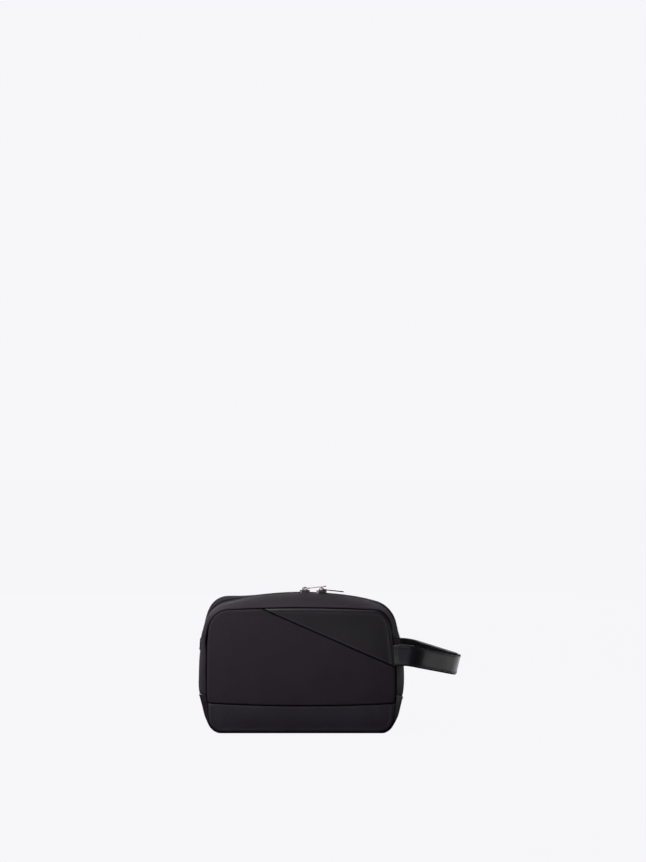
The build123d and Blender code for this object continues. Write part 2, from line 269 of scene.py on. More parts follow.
def slab(name, outer, inner, uv, seam_shade=None):
    """A closed thin solid between two matching grids of points, (rows, columns, 3)."""
    rows, cols = outer.shape[:2]
    back, last_row = rows * cols, (rows - 1) * cols
    faces = []
    for i in range(rows - 1):
        j = i + 1
        for k in range(cols - 1):
            a, b, c, d = i * cols + k, j * cols + k, j * cols + k + 1, i * cols + k + 1
            faces += [(a, b, c, d), (back + d, back + c, back + b, back + a)]
        faces.append((i * cols, back + i * cols, back + j * cols, j * cols))
        e, f = i * cols + cols - 1, j * cols + cols - 1
        faces.append((e, f, back + f, back + e))
    for k in range(cols - 1):
        e = last_row + k
        faces += [(k, k + 1, back + k + 1, back + k), (e + 1, e, back + e, back + e + 1)]
    verts = np.concatenate([outer.reshape(-1, 3), inner.reshape(-1, 3)])
    uvs = np.concatenate([uv.reshape(-1, 2), uv.reshape(-1, 2)])
    if seam_shade is not None:
        seam_shade = np.tile(np.broadcast_to(seam_shade, (rows, cols)).ravel(), 2)
    return make_object(name, verts, faces, uvs, seam_shade=seam_shade)


def tube_faces(rows, sides):
    """The faces of a tube of rings of points, with both ends closed."""
    faces = [
        (i * sides + k, i * sides + (k + 1) % sides, (i + 1) * sides + (k + 1) % sides, (i + 1) * sides + k)
        for i in range(rows - 1) for k in range(sides)
    ]
    return faces + [tuple(range(sides))[::-1], tuple((rows - 1) * sides + k for k in range(sides))]


def tube_mesh(centres, axis_a, axis_b, profile):
    """Vertices and faces of a profile, (n, 2), swept through points with two axes at each."""
    verts = (
        centres[:, None, :]
        + axis_a[:, None, :] * profile[None, :, :1]
        + axis_b[:, None, :] * profile[None, :, 1:]
    ).reshape(-1, 3)
    return verts, tube_faces(len(centres), len(profile))


def merge(parts):
    """One set of vertices and faces from several."""
    verts, faces, base = [], [], 0
    for v, f in parts:
        verts.append(v)
        faces += [tuple(i + base for i in face) for face in f]
        base += len(v)
    return np.concatenate(verts), faces


def resample(path, step):
    """Evenly spaced points along a path, with its length."""
    lengths = lengths_along(path)
    count = max(2, int(round(lengths[-1] / step)) + 1)
    s = np.linspace(0, lengths[-1], count)
    return np.stack([np.interp(s, lengths, path[:, i]) for i in range(path.shape[1])], 1), lengths[-1]


def stitch_row(name, path, normals, body, thread, length=2.5, gap=0.9, radius=0.3, sink=0.12):
    """A row of separate stitches lying on a surface, each bowed with both ends sunk in."""
    both = np.concatenate([path, normals], 1)
    fine, total = resample(both, 0.25)
    s = np.linspace(0, total, len(fine))
    sides = rows = 6
    angles = np.linspace(0, 2 * pi, sides, endpoint=False)
    ring = np.stack([np.cos(angles), np.sin(angles)], 1)
    parts = []
    start = gap / 2
    while start + length < total:
        u = np.linspace(0, 1, rows)
        here = np.stack([np.interp(start + u * length, s, fine[:, i]) for i in range(6)], 1)
        n = unit(here[:, 3:])
        across = np.cross(unit(np.gradient(here[:, :3], axis=0)), n)
        bow = np.sin(u * pi)
        centres = here[:, :3] + n * (radius * (1.1 * bow - 0.75) + sink * bow)[:, None]
        thick = radius * (0.55 + 0.45 * bow)[:, None, None]
        round_it = across[:, None] * ring[None, :, :1] + n[:, None] * ring[None, :, 1:]
        parts.append(((centres[:, None] + thick * round_it).reshape(-1, 3), tube_faces(rows, sides)))
        start += length + gap
    verts, faces = merge(parts)
    obj = make_object(name, verts, faces, verts[:, [0, 2]])
    finish_piece(obj, thread, body)
    return obj


def finish_piece(obj, material, body=None, replaces=()):
    """Gives a piece its material, which holds its slot, and the body it rides on, and hides the CAD nodes it
    stands for.
    """
    obj.data.materials.append(material)
    if body:
        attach(obj, body)
    if replaces:
        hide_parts(*replaces)
    return obj


# ---- materials ----
class Nodes:
    """Small helper for building one material's nodes."""

    def __init__(self, name, slot):
        self.material = bpy.data.materials.new(name)
        self.material.use_nodes = True
        self.material["slot"] = slot
        self.tree = self.material.node_tree
        self.shader = self.tree.nodes["Principled BSDF"]
        coords = self.add("ShaderNodeTexCoord").outputs
        self.place, self.uv = coords["Object"], coords["UV"]

    def add(self, kind, inputs=None, **settings):
        node = self.tree.nodes.new(kind)
        for key, value in settings.items():
            setattr(node, key, value)
        for key, value in (inputs or {}).items():
            self.put(node.inputs[key], value)
        return node

    def put(self, socket, value):
        if isinstance(value, bpy.types.NodeSocket):
            self.tree.links.new(value, socket)
        else:
            socket.default_value = value

    def math(self, operation, a, b=0.0, clamp=False):
        node = self.add("ShaderNodeMath", operation=operation, use_clamp=clamp)
        self.put(node.inputs[0], a)
        self.put(node.inputs[1], b)
        return node.outputs[0]

    def vector(self, operation, inputs):
        return self.add("ShaderNodeVectorMath", inputs, operation=operation).outputs[0]

    def noise(self, vector, scale, detail=2.0, rough=0.5):
        inputs = {"Vector": vector, "Scale": scale, "Detail": detail, "Roughness": rough}
        return self.add("ShaderNodeTexNoise", inputs).outputs["Fac"]

    def blend(self, a, share_a, b, share_b, clamp=False):
        """The sum of two values, each times its share."""
        return self.math("ADD", self.math("MULTIPLY", a, share_a), self.math("MULTIPLY", b, share_b), clamp)

    def remap(self, value, low, high, out_low, out_high):
        node = self.add("ShaderNodeMapRange", {0: value, 1: low, 2: high, 3: out_low, 4: out_high})
        return node.outputs[0]

    def ramp(self, factor, *stops):
        node = self.add("ShaderNodeValToRGB", {"Fac": factor})
        ramp = node.color_ramp
        while len(ramp.elements) < len(stops):
            ramp.elements.new(0.5)
        for element, (place, colour) in zip(ramp.elements, stops):
            element.position = place
            element.color = (*colour, 1)
        return node.outputs["Color"]

    def bump(self, height, strength, distance, normal=None):
        inputs = {"Height": height, "Strength": strength, "Distance": distance}
        if normal is not None:
            inputs["Normal"] = normal
        return self.add("ShaderNodeBump", inputs).outputs["Normal"]

    def shade(self, **values):
        for key, value in values.items():
            self.put(self.shader.inputs[key.replace("_", " ")], value)
        return self.material

    def add_seam_shade(self, colour):
        """The colour with painted seam shade, nearly black where the piece is pinched into a seam, and the
        share of gloss and sheen left there.
        """
        seam_shade = self.add("ShaderNodeAttribute", attribute_name="seam_shade").outputs["Fac"]
        # painted shade: the near-black that seams are mixed towards
        seam_shade_black = (0.0012, 0.001, 0.0014, 1)
        mix = self.add("ShaderNodeMix", {0: seam_shade, 6: colour, 7: seam_shade_black}, data_type="RGBA")
        return mix.outputs[2], self.remap(seam_shade, 0, 1, 1, 0)


def linear(r, g, b):
    """A colour given as 8-bit sRGB, as linear values."""
    return tuple(((c / 255 + 0.055) / 1.055) ** 2.4 if c > 10 else c / 255 / 12.92 for c in (r, g, b))


def woven(name, slot, dark, light, pitch, rough, sheen, depth=0.12, mottle=0.35):
    """Plain-weave cloth: threads over and under in the UVs' millimetres, with uneven yarn."""
    n = Nodes(name, slot)
    wobble = n.noise(n.uv, 0.35, 2.0)
    split = n.add("ShaderNodeSeparateXYZ", {0: n.uv})
    turn = 2 * pi / pitch
    phase = n.math("MULTIPLY", n.math("SUBTRACT", wobble, 0.5), 1.6)
    u = n.math("ADD", n.math("MULTIPLY", split.outputs[0], turn), phase)
    v = n.math("ADD", n.math("MULTIPLY", split.outputs[1], turn), phase)
    weave = n.math("MULTIPLY", n.math("SINE", u), n.math("SINE", v))
    rib = n.math("ABSOLUTE", weave)
    clouds = n.noise(n.place, 26.0, 4.0, 0.6)
    fine = n.noise(n.place, 900.0, 2.0, 0.6)
    mix = n.blend(clouds, mottle, rib, 0.30)
    mix = n.math("ADD", mix, n.math("MULTIPLY", fine, 0.35), clamp=True)
    colour = n.ramp(mix, (0.25, dark), (0.85, light))
    normal = n.bump(n.blend(weave, 0.5, fine, 0.4), 0.5, depth * MM)
    # painted shade in the seams: near-black colour, and sheen and gloss cut back there
    colour, unshaded_share = n.add_seam_shade(colour)
    return n.shade(
        Base_Color=colour, Normal=normal,
        Roughness=n.remap(clouds, 0.3, 0.7, rough - 0.05, rough + 0.06),
        Sheen_Weight=n.math("MULTIPLY", unshaded_share, sheen), Sheen_Roughness=0.35,
        Sheen_Tint=(0.75, 0.66, 0.8, 1), Specular_IOR_Level=n.math("MULTIPLY", unshaded_share, 0.26),
    )


def hide(name, slot, dark, light, rough, grain=0.10, coat=0.0, grain_scale=950.0):
    """Leather: pebbled grain of small cells with fine creases, smoother where it is rubbed."""
    n = Nodes(name, slot)
    warp = n.add("ShaderNodeTexNoise", {"Vector": n.place, "Scale": 220.0, "Detail": 2.0})
    offset = n.vector("SUBTRACT", {0: warp.outputs["Color"], 1: (0.5, 0.5, 0.5)})
    bent = n.vector("ADD", {0: n.place, 1: n.vector("SCALE", {0: offset, "Scale": 0.0016})})
    cells = n.add("ShaderNodeTexVoronoi", {"Vector": bent, "Scale": grain_scale}, feature="DISTANCE_TO_EDGE")
    pebble = n.math("MINIMUM", n.math("MULTIPLY", cells.outputs["Distance"], 3.0), 1.0)
    clouds = n.noise(n.place, 22.0, 4.0, 0.6)
    creases = n.noise(bent, 150.0, 5.0, 0.65)
    fine = n.noise(n.place, 2600.0, 2.0)
    height = n.math("ADD", pebble, n.math("MULTIPLY", fine, 0.35))
    normal = n.bump(creases, 0.16, 0.35 * MM)
    normal = n.bump(height, 0.35, grain * MM, normal)
    colour = n.ramp(n.blend(clouds, 0.6, pebble, 0.4), (0.3, dark), (0.8, light))
    rubbed = n.remap(clouds, 0.3, 0.7, rough - 0.05, rough + 0.05)
    gloss = n.math("ADD", rubbed, n.remap(pebble, 0, 1, 0.06, 0.0))
    # painted shade in the seams: near-black colour, and gloss and coat cut back there
    colour, unshaded_share = n.add_seam_shade(colour)
    return n.shade(
        Base_Color=colour, Roughness=gloss, Normal=normal,
        Specular_IOR_Level=n.math("MULTIPLY", unshaded_share, 0.5),
        Coat_Weight=n.math("MULTIPLY", unshaded_share, coat), Coat_Roughness=0.22,
    )


def ribbed(name, slot, dark, light, pitch, rough, sheen=0.15):
    """Narrow woven tape: ribs across its length, which runs along u."""
    n = Nodes(name, slot)
    split = n.add("ShaderNodeSeparateXYZ", {0: n.uv})
    rib = n.math("SINE", n.math("MULTIPLY", split.outputs[0], 2 * pi / pitch))
    line = n.math("SINE", n.math("MULTIPLY", split.outputs[1], 2 * pi / (pitch * 1.4)))
    fuzz = n.noise(n.place, 1200.0, 3.0)
    height = n.blend(rib, 0.6, n.math("MULTIPLY", rib, line), 0.4)
    colour = n.ramp(n.blend(fuzz, 0.6, n.math("ABSOLUTE", rib), 0.4), (0.25, dark), (0.8, light))
    return n.shade(Base_Color=colour, Roughness=rough, Normal=n.bump(height, 0.5, 0.14 * MM),
                   Sheen_Weight=sheen, Specular_IOR_Level=0.3)


def thread_material(name, slot, dark, light):
    """Twisted sewing thread."""
    n = Nodes(name, slot)
    twist = n.add("ShaderNodeTexWave", {"Vector": n.place, "Scale": 1500.0, "Distortion": 1.5},
                  wave_type="BANDS", bands_direction="DIAGONAL").outputs["Fac"]
    fuzz = n.noise(n.place, 2400.0, 2.0)
    colour = n.ramp(n.blend(twist, 0.6, fuzz, 0.4), (0.2, dark), (0.8, light))
    return n.shade(Base_Color=colour, Roughness=0.52, Normal=n.bump(twist, 0.4, 0.06 * MM),
                   Specular_IOR_Level=0.45)


def metal_material():
    """Plated zinc: polished gunmetal with fine wear and tiny scratches."""
    n = Nodes("gunmetal", "metal")
    clouds = n.noise(n.place, 160.0, 4.0, 0.6)
    stretched = n.add("ShaderNodeMapping", {"Vector": n.place, "Scale": (300.0, 2600.0, 2600.0)}).outputs[0]
    scratches = n.noise(stretched, 1.0, 3.0, 0.6)
    wear = n.add("ShaderNodeNewGeometry").outputs["Pointiness"]
    shine = n.remap(wear, 0.48, 0.58, 0.0, 1.0)
    mix = n.blend(clouds, 0.5, shine, 0.5, clamp=True)
    colour = n.ramp(mix, (0.2, linear(104, 98, 104)), (0.9, linear(172, 164, 170)))
    return n.shade(
        Base_Color=colour, Metallic=1.0, Roughness=n.remap(scratches, 0.3, 0.7, 0.22, 0.4),
        Normal=n.bump(scratches, 0.12, 0.02 * MM),
    )


def plain_material(name, slot, dark, light, rough, scale, depth, specular=0.4):
    """Moulded or foamed plastic with a fine uneven surface."""
    n = Nodes(name, slot)
    grain = n.noise(n.place, scale, 4.0, 0.65)
    clouds = n.noise(n.place, 60.0, 3.0)
    colour = n.ramp(n.blend(grain, 0.5, clouds, 0.5), (0.3, dark), (0.75, light))
    return n.shade(Base_Color=colour, Roughness=n.remap(grain, 0.3, 0.7, rough - 0.06, rough + 0.06),
                   Normal=n.bump(grain, 0.4, depth * MM), Specular_IOR_Level=specular)


NYLON = woven("nylon", "nylon", linear(33, 26, 34), linear(56, 47, 58), 0.62, 0.66, 0.08)
LEATHER = hide("leather", "leather", linear(33, 26, 38), linear(54, 45, 63), 0.46, coat=0.08)
CORNER_LEATHER = hide("corner_leather", "leather", linear(17, 12, 20), linear(30, 23, 36), 0.42, coat=0.08)
STRAP_LEATHER = hide("strap_leather", "leather", linear(18, 15, 23), linear(31, 26, 38), 0.33, grain=0.05,
                     coat=0.5, grain_scale=1500.0)
LINING = woven("lining_cloth", "lining", linear(46, 43, 48), linear(74, 70, 76), 0.34, 0.55, 0.12, depth=0.06)
BINDING = ribbed("binding_tape", "binding", linear(30, 27, 31), linear(52, 48, 54), 0.9, 0.7)
ZIP_TAPE = ribbed("zip_tape_cloth", "zip_tape", linear(20, 18, 21), linear(40, 37, 42), 0.7, 0.7)
ELASTIC = ribbed("elastic_band", "elastic", linear(30, 27, 30), linear(54, 50, 55), 1.6, 0.68)
COIL = plain_material("zip_nylon", "zip_coil", linear(22, 20, 24), linear(44, 41, 47), 0.38, 1800.0, 0.03,
                      0.5)
FOAM = plain_material("foam", "padding", linear(70, 70, 72), linear(104, 104, 106), 0.85, 1500.0, 0.25, 0.2)
THREAD = thread_material("thread", "nylon", linear(26, 23, 28), linear(58, 53, 62))
LEATHER_THREAD = thread_material("leather_thread", "leather", linear(30, 27, 33), linear(66, 61, 72))
METAL = metal_material()


# ---- the seams lean in a little below the shoulders ----
seam_x = SEAM_RING[:, 0]
lean = bump(SEAM_RING[:, 1], 118, 32) * smooth(np.abs(seam_x), 92, 104)
SEAM_RING[:, 0] -= np.where(seam_x > 0, 3.4, -0.6) * lean

# ---- shares of the outline where things start and end ----
ARC_X = 60               # points further out than this are on the bag's sides
ON_RIGHT = (RING_T[:-1] < 0.5) & (MID_RING[:, 0] > ARC_X)


def share_at_height(z, side):
    """The share at which the side of the bag is at height z, on the right (1) or the left (-1)."""
    t = np.interp(z, MID_RING[ON_RIGHT, 1], RING_T[:-1][ON_RIGHT])
    return t if side > 0 else 1 - t


def shares(low, high, step=1.0):
    """Shares between two, at the ring's own points and both ends, or at finer even steps."""
    if step < 1:
        return np.concatenate([np.arange(low, high, step / RING_N), [high]])
    ring = np.concatenate([RING_T[:-1] - 1, RING_T])
    between = ring[(ring > low + 0.4 / RING_N) & (ring < high - 0.4 / RING_N)]
    return np.concatenate([[low], between, [high]])


def run_length(t, y=0.0):
    """Distance along the skin at depth y for a list of shares, in millimetres."""
    return lengths_along(skin(t, y))


def uv_grid(t, y, origin_share=0.5):
    along = run_length(t)
    origin = np.interp(origin_share, t, along) if t[0] <= origin_share <= t[-1] else 0.0
    return np.stack(np.broadcast_arrays((along - origin)[:, None], np.asarray(y, float)[None, :]), -1)


def laid(t, y, h):
    """A grid of points on the skin, at shares t, depths y and heights h."""
    return skin(t[:, None], y[None, :], h)


def depth_steps(a, b):
    """Depths from a up to b with finer steps near both edges."""
    edge = [f for f in (0, 0.25, 0.6, 1.1, 1.8, 2.8, 4.2, 6.2) if f < (b - a) / 2 - 0.5]
    middle = np.linspace(a + edge[-1], b - edge[-1], max(2, int((b - a) / 3.0)))
    return np.unique(np.round(np.concatenate([[a + e for e in edge], middle, [b - e for e in edge]]), 4))


def rounded(distance, radius):
    """0 at an edge, 1 from radius inward, along a quarter circle."""
    s = 1 - np.clip(distance / radius, 0, 1)
    return np.sqrt(np.maximum(0, 1 - s * s))


def seam_shade_amount(distance, reach=1.5):
    """How much painted shade a point this far from a seam gets in its crease, 0 to 1."""
    return 1 - smooth(distance, 0.35 * reach, reach)


GROOVE = 3.3             # how far the gusset dips into the seams with the walls
STRIP_Y = 7.2            # edge of the nylon beside the zip
STRIP_T, THINNEST = 1.4, 0.35
EDGE_Y = SEAM_Y - 0.05   # where the gusset's pieces end, just short of the seams
SEAM_R = 2.4             # radius of the roll into a seam
T_RIGHT_END, T_LEFT_END = share_at_height(ZIP_END_Z, 1), share_at_height(ZIP_END_Z, -1)
T_RIGHT_BASE, T_LEFT_BASE = share_at_height(BASE_TOP - 2.5, 1), share_at_height(BASE_TOP + 0.6, -1)


def join_mouth(obj):
    """Bakes a half of a strip's transform into its mesh."""
    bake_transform(obj)


def under(h, thick):
    """The inner height of a skin: thin where it dips into a seam, so it stays outside the wall."""
    return np.minimum(h - THINNEST, np.maximum(h - thick, -GROOVE - 0.3))


# the zip's four quarters: the names of its depth and its half, their signs, and its shares
QUARTERS = [
    (depth_word, depth_side, f"{depth_word}_{half_word}", half_side, t0, t1)
    for depth_word, depth_side in SIDES
    for half_word, half_side, t0, t1 in (("right", 1, T_RIGHT_END, 0.5), ("left", -1, 0.5, T_LEFT_END))
]


def cloth(name, t, y, outer_h, inner_h, material, replaced, body=None, origin=0.5, seam_shade=None):
    """A piece of cloth laid on the skin between two heights."""
    piece = slab(name, laid(t, y, outer_h), laid(t, y, inner_h), uv_grid(t, y, origin), seam_shade=seam_shade)
    return finish_piece(piece, material, body, replaced)

# ---- nylon strips beside the zip, from its ends over the shoulders ----
for depth_word, depth_side, quarter, half_side, t0, t1 in QUARTERS:
    t = shares(t0, t1)
    y = np.sort(depth_side * depth_steps(STRIP_Y, EDGE_Y))
    from_seam = SEAM_Y - np.abs(y)
    from_edge = np.abs(y) - STRIP_Y
    h = -GROOVE * (1 - rounded(from_seam, SEAM_R)) - 0.5 * (1 - rounded(from_edge, 0.9))
    # a shallow dip along the stitched edge, then a soft puff
    h += -0.35 * bump(from_edge, 2.6, 1.0) + 0.25 * bump(from_edge, 6.5, 3.0)
    from_end = np.abs(run_length(t) - run_length(t)[0 if half_side > 0 else -1])
    h = h[None, :] - 0.7 * (1 - rounded(from_end, 2.0))[:, None]
    base = laid(t, y, 0.0)
    ripple = noise_at(base, 34.0, 3.0) * 0.35 + noise_at(base, 12.0, 9.0) * 0.08
    h = h + ripple * rounded(from_seam, 8.0)[None, :]
    # painted shade in the seams with the walls
    piece = cloth(f"{quarter}_zip_strip", t, y, h, under(h, STRIP_T), NYLON,
                  [f"{depth_word}_zip_strip", f"{depth_word}_shoulder_strips"], seam_shade=seam_shade_amount(from_seam))
    join_mouth(piece)


# ---- sides and base of the gusset ----
def gusset_piece(name, low, high, material, replaced, raise_h=0.0, thick=1.4, end_roll=1.6, folds=0.5):
    """A piece of the gusset between two shares, or the other way round if it holds the base."""
    round_base = low < 0.25 and high > 0.75
    t = shares(high - 1, low) if round_base else shares(low, high)
    y = depth_steps(-EDGE_Y, EDGE_Y)
    along = run_length(t)
    from_end = np.minimum(along, along[-1] - along)
    from_seam = SEAM_Y - np.abs(y)
    h = raise_h - GROOVE * (1 - rounded(from_seam, SEAM_R))[None, :]
    h = h - 0.9 * (1 - rounded(from_end, end_roll))[:, None]
    base = laid(t, y, 0.0)
    ripple = noise_at(base, 30.0, 5.0) * folds + noise_at(base, 11.0, 2.0) * folds * 0.2
    h = h + ripple * (rounded(from_seam, 10.0)[None, :] * rounded(from_end, 6.0)[:, None])
    outer, inner = laid(t, y, h), laid(t, y, under(h, thick))
    outer[..., 2] = np.maximum(outer[..., 2], 0.0)
    inner[..., 2] = np.maximum(inner[..., 2], 0.8)
    origin = 0.0 if round_base else (low + high) / 2
    # painted shade where the gusset dips into the seams
    piece = slab(name, outer, inner, uv_grid(t, y, origin), seam_shade=seam_shade_amount(from_seam))
    return finish_piece(piece, material, "bag", replaced)


gusset_piece("right_side", T_RIGHT_BASE + 0.3 / RING_N, T_RIGHT_END - 0.1 / RING_N,
             NYLON, ["right_side_gusset"])
gusset_piece("left_side", T_LEFT_END + 0.1 / RING_N, T_LEFT_BASE - 0.3 / RING_N,
             NYLON, ["left_side_gusset"])
gusset_piece("base_leather", T_RIGHT_BASE, T_LEFT_BASE, LEATHER, ["base_gusset"], raise_h=0.7, thick=1.6,
             end_roll=1.1, folds=0.35)


# ---- front and back walls ----
SEAM_START, SEAM_END = np.array((-49.0, 147.5)), np.array((109.5, 78.0))
RUN = unit(SEAM_END - SEAM_START)
UP = np.array((-RUN[1], RUN[0]))
WALL_T = 1.3
SEAM_GAP = 0.12          # from a seam's line to the edge of each piece sewn at it


def band_height(x):
    """The seam above the lower band: it sags a little in the middle."""
    return BAND_TOP - 0.2 - 3.6 * (1 - (x / 112.0) ** 2) - 0.5 * smooth(x, 0, 110)


def distance_to(points, ring):
    """Each point's distance to a closed ring."""
    a, b = ring, np.roll(ring, -1, 0)
    ab = b - a
    best = np.full(len(points), 1e9)
    batch = 2000
    for start in range(0, len(points), batch):
        p = points[start:start + batch, None, :]
        s = np.clip(((p - a) * ab).sum(-1) / np.maximum((ab**2).sum(-1), 1e-12), 0, 1)
        best[start:start + batch] = np.linalg.norm(p - (a + ab * s[..., None]), axis=-1).min(1)
    return best


def inside(points, ring):
    """Whether each point is inside a closed ring."""
    x, z = points[:, 0][:, None], points[:, 1][:, None]
    a, b = ring, np.roll(ring, -1, 0)
    crosses = (a[:, 1] > z) != (b[:, 1] > z)
    with np.errstate(divide="ignore", invalid="ignore"):
        at = (b[:, 0] - a[:, 0]) * (z - a[:, 1]) / (b[:, 1] - a[:, 1]) + a[:, 0]
    return (np.where(crosses, x < at, False).sum(1) % 2) == 1


def clip_ring(ring, keep):
    """The part of a closed ring where keep(points) > 0, cut exactly where it crosses 0."""
    out = []
    values = keep(ring)
    for i in range(len(ring)):
        j = (i + 1) % len(ring)
        if values[i] > 0:
            out.append(ring[i])
        if (values[i] > 0) != (values[j] > 0):
            s = values[i] / (values[i] - values[j])
            out.append(ring[i] + (ring[j] - ring[i]) * s)
    return np.array(out)


def evenly(ring, step):
    return resample(closed(ring), step)[0][:-1]


def shrink(ring, amount):
    """The ring's points moved inward along their normals."""
    along = unit(np.roll(ring, -1, 0) - np.roll(ring, 1, 0))
    inward = np.stack([-along[:, 1], along[:, 0]], 1)
    return ring + inward * amount * np.sign(ring_area(ring))


EDGE_RINGS = (0.3, 0.7, 1.2, 1.8, 2.5, 3.4, 4.6, 6.4, 9.0)


def cut_piece(name, ring, place, outer_fn, inner_fn, spacing=4.0, rings=EDGE_RINGS, edge_step=2.2,
              seam_shade=0.01):
    """A closed thin solid cut to a flat ring, finely meshed along its edges.

    place(points, height) puts flat points at heights above their surface into the bag's frame.
    """
    edge = evenly(ring, edge_step)
    points = [edge]
    for gap in rings:
        moved = shrink(edge, gap)
        ok = inside(moved, edge) & (distance_to(moved, edge) > gap * 0.92)
        points.append(moved[ok])
    low, high = edge.min(0), edge.max(0)
    xs, zs = np.arange(low[0], high[0], spacing), np.arange(low[1], high[1], spacing * 0.866)
    grid = np.array([(x + (spacing / 2 if j % 2 else 0), z) for j, z in enumerate(zs) for x in xs])
    ok = inside(grid, edge)
    grid = grid[ok]
    points.append(grid[distance_to(grid, edge) > rings[-1] + spacing * 0.6])
    flat = np.concatenate(points)
    n = len(edge)
    found, _, tris, *_ = geometry.delaunay_2d_cdt(
        [Vector(p) for p in flat.tolist()], [(i, (i + 1) % n) for i in range(n)], [], 1, 1e-5
    )
    flat = np.array([tuple(p) for p in found])
    tris = [tuple(f) for f in tris]
    from_edge = distance_to(flat, edge)
    out, back = outer_fn(flat, from_edge), inner_fn(flat, from_edge)
    verts = np.concatenate([place(flat, out), place(flat, back)])
    count = {}
    for f in tris:
        for k in range(3):
            pair = (f[k], f[(k + 1) % 3])
            count[pair] = count.get(pair, 0) + 1
    m = len(flat)
    faces = tris + [tuple(i + m for i in reversed(f)) for f in tris]
    faces += [(b, a, a + m, b + m) for a, b in count if (b, a) not in count]
    # painted shade along the piece's edges, where it meets a seam
    seam_shade = np.tile(seam_shade_amount(from_edge, seam_shade), 2)
    return make_object(name, verts, faces, np.concatenate([flat, flat]), seam_shade=seam_shade)


def on_wall(side):
    """Places flat points at heights above one of the walls."""
    return lambda points, height: upright(points, side * (SEAM_Y + height))


OUTLINE = shrink(evenly(SEAM_RING, 1.5), 0.8)
FOLD_START, FOLD_END = np.array((46.0, 104.0)), np.array((104.0, 141.0))
FOLD_UP = unit(np.array((-(FOLD_END - FOLD_START)[1], (FOLD_END - FOLD_START)[0])))


def crown(points):
    """The wall's overall cushion, before its edges and seams."""
    out = distance_to(points, OUTLINE)
    return 0.3 + 2.9 * rounded(out, 2.5) + 1.9 * (1 - np.exp(-out / 22.0))


def wall_noise(points, seed, big=0.45, small=0.1):
    p = upright(points, 0.0)
    return noise_at(p, 42.0, seed) * big + noise_at(p, 15.0, seed + 7) * small


def seam_dip(distance, depth, radius=SEAM_R):
    return -depth * (1 - rounded(distance, radius))


def diagonal_distance(points):
    return np.abs((points - SEAM_START) @ UP)


def band_distance(points):
    return np.abs(points[:, 1] - band_height(points[:, 0]))


def main_surface(side, diagonal):
    def surface(points, from_edge):
        h = crown(points) + wall_noise(points, 11.0 if side < 0 else 31.0)
        h += seam_dip(band_distance(points), 1.6)
        if diagonal:
            d = diagonal_distance(points)
            h += seam_dip(d, 1.5, 2.0) + 0.25 * bump(d, 4.5, 2.5)
        return np.maximum(h, 0.3)
    return surface


def corner_surface(points, from_edge):
    h = crown(points) + wall_noise(points, 17.0, 0.35, 0.08)
    d = diagonal_distance(points)
    h += seam_dip(d, 1.1, 1.6) + 0.45
    # the soft hide folds a little towards its free corner, and lies fuller below the fold
    across = (points - FOLD_START) @ FOLD_UP
    h += -0.35 * bump(across, 2.0, 12.0) + 0.6 * bump(across, -17.0, 14.0) * smooth(points[:, 0], 40, 90)
    # a firm rolled edge along the top
    h += 0.5 * bump(distance_to(points, OUTLINE), 3.4, 1.6)
    return np.maximum(h, 0.3)


def band_surface(side):
    def surface(points, from_edge):
        h = crown(points) + wall_noise(points, 23.0 if side < 0 else 41.0, 0.35, 0.08)
        h += 0.35 + seam_dip(band_distance(points), 0.9, 1.3)
        h += 0.35 * bump(distance_to(points, OUTLINE), 3.2, 1.4)
        return np.maximum(h, 0.3)
    return surface


def backing(surface):
    return lambda points, from_edge: np.maximum(surface(points, from_edge) - WALL_T, 0.02)


above_band = clip_ring(OUTLINE, lambda p: p[:, 1] - band_height(p[:, 0]) - SEAM_GAP)
below_band = clip_ring(OUTLINE, lambda p: band_height(p[:, 0]) - SEAM_GAP - p[:, 1])


def follow_band(ring, offset):
    """Replaces the straight chord along the band by the sagging seam."""
    on_band = np.abs(ring[:, 1] - band_height(ring[:, 0]) - offset) < 0.02
    gap = np.linalg.norm(np.roll(ring, -1, 0) - ring, axis=1)
    first = int(np.argmax(np.where(on_band, gap, 0)))
    rolled = np.roll(ring, -first, 0)
    xs = np.linspace(rolled[0, 0], rolled[1, 0], 90)[1:-1]
    return np.concatenate([rolled[:1], np.stack([xs, band_height(xs) + offset], 1), rolled[1:]])


above_band, below_band = follow_band(above_band, SEAM_GAP), follow_band(below_band, -SEAM_GAP)
main_ring = clip_ring(above_band, lambda p: -((p - SEAM_START) @ UP) - SEAM_GAP)
corner_ring = clip_ring(above_band, lambda p: (p - SEAM_START) @ UP - SEAM_GAP)

for name, ring, side, surface, material, replaced in (
    ("front_main", main_ring, -1, main_surface(-1, True), NYLON, "front_main_panel"),
    ("front_corner", corner_ring, -1, corner_surface, CORNER_LEATHER, "front_corner_panel"),
    ("front_band", below_band, -1, band_surface(-1), LEATHER, "front_lower_band"),
    ("back_main", above_band, 1, main_surface(1, False), NYLON, "back_main_panel"),
    ("back_band", below_band, 1, band_surface(1), LEATHER, "back_lower_band"),
):
    # painted shade along the walls' edges, in the seams
    piece = cut_piece(name, ring, on_wall(side), surface, backing(surface), seam_shade=0.8)
    finish_piece(piece, material, "bag", [replaced])


# ---- foam behind the walls ----
FOAM_UNDER = 3.3         # from the crown of a wall down to its foam
foam_ring = shrink(OUTLINE, 3.0)
for word, side in SIDES:
    foam = cut_piece(
        f"{word}_foam", foam_ring, on_wall(side),
        lambda points, d: np.maximum(0.3, (crown(points) - FOAM_UNDER) * rounded(d, 6.0)),
        lambda points, d: np.full(len(points), 0.05), spacing=7.0, rings=(1.0, 2.5, 5.0, 9.0),
    )
    finish_piece(foam, FOAM, "bag", [f"{word}_padding"])


# ---- zip: tapes, coils of teeth, and the stitching beside it ----
TAPE_H, TAPE_T, TAPE_Y = -1.7, 0.6, (0.5, 0.8, 1.6, 3.0, 4.4, 5.8, 7.0, 8.6)
TOOTH_PITCH, TOOTH_HALF_H, TOOTH_Y = 1.3, 0.95, 1.25


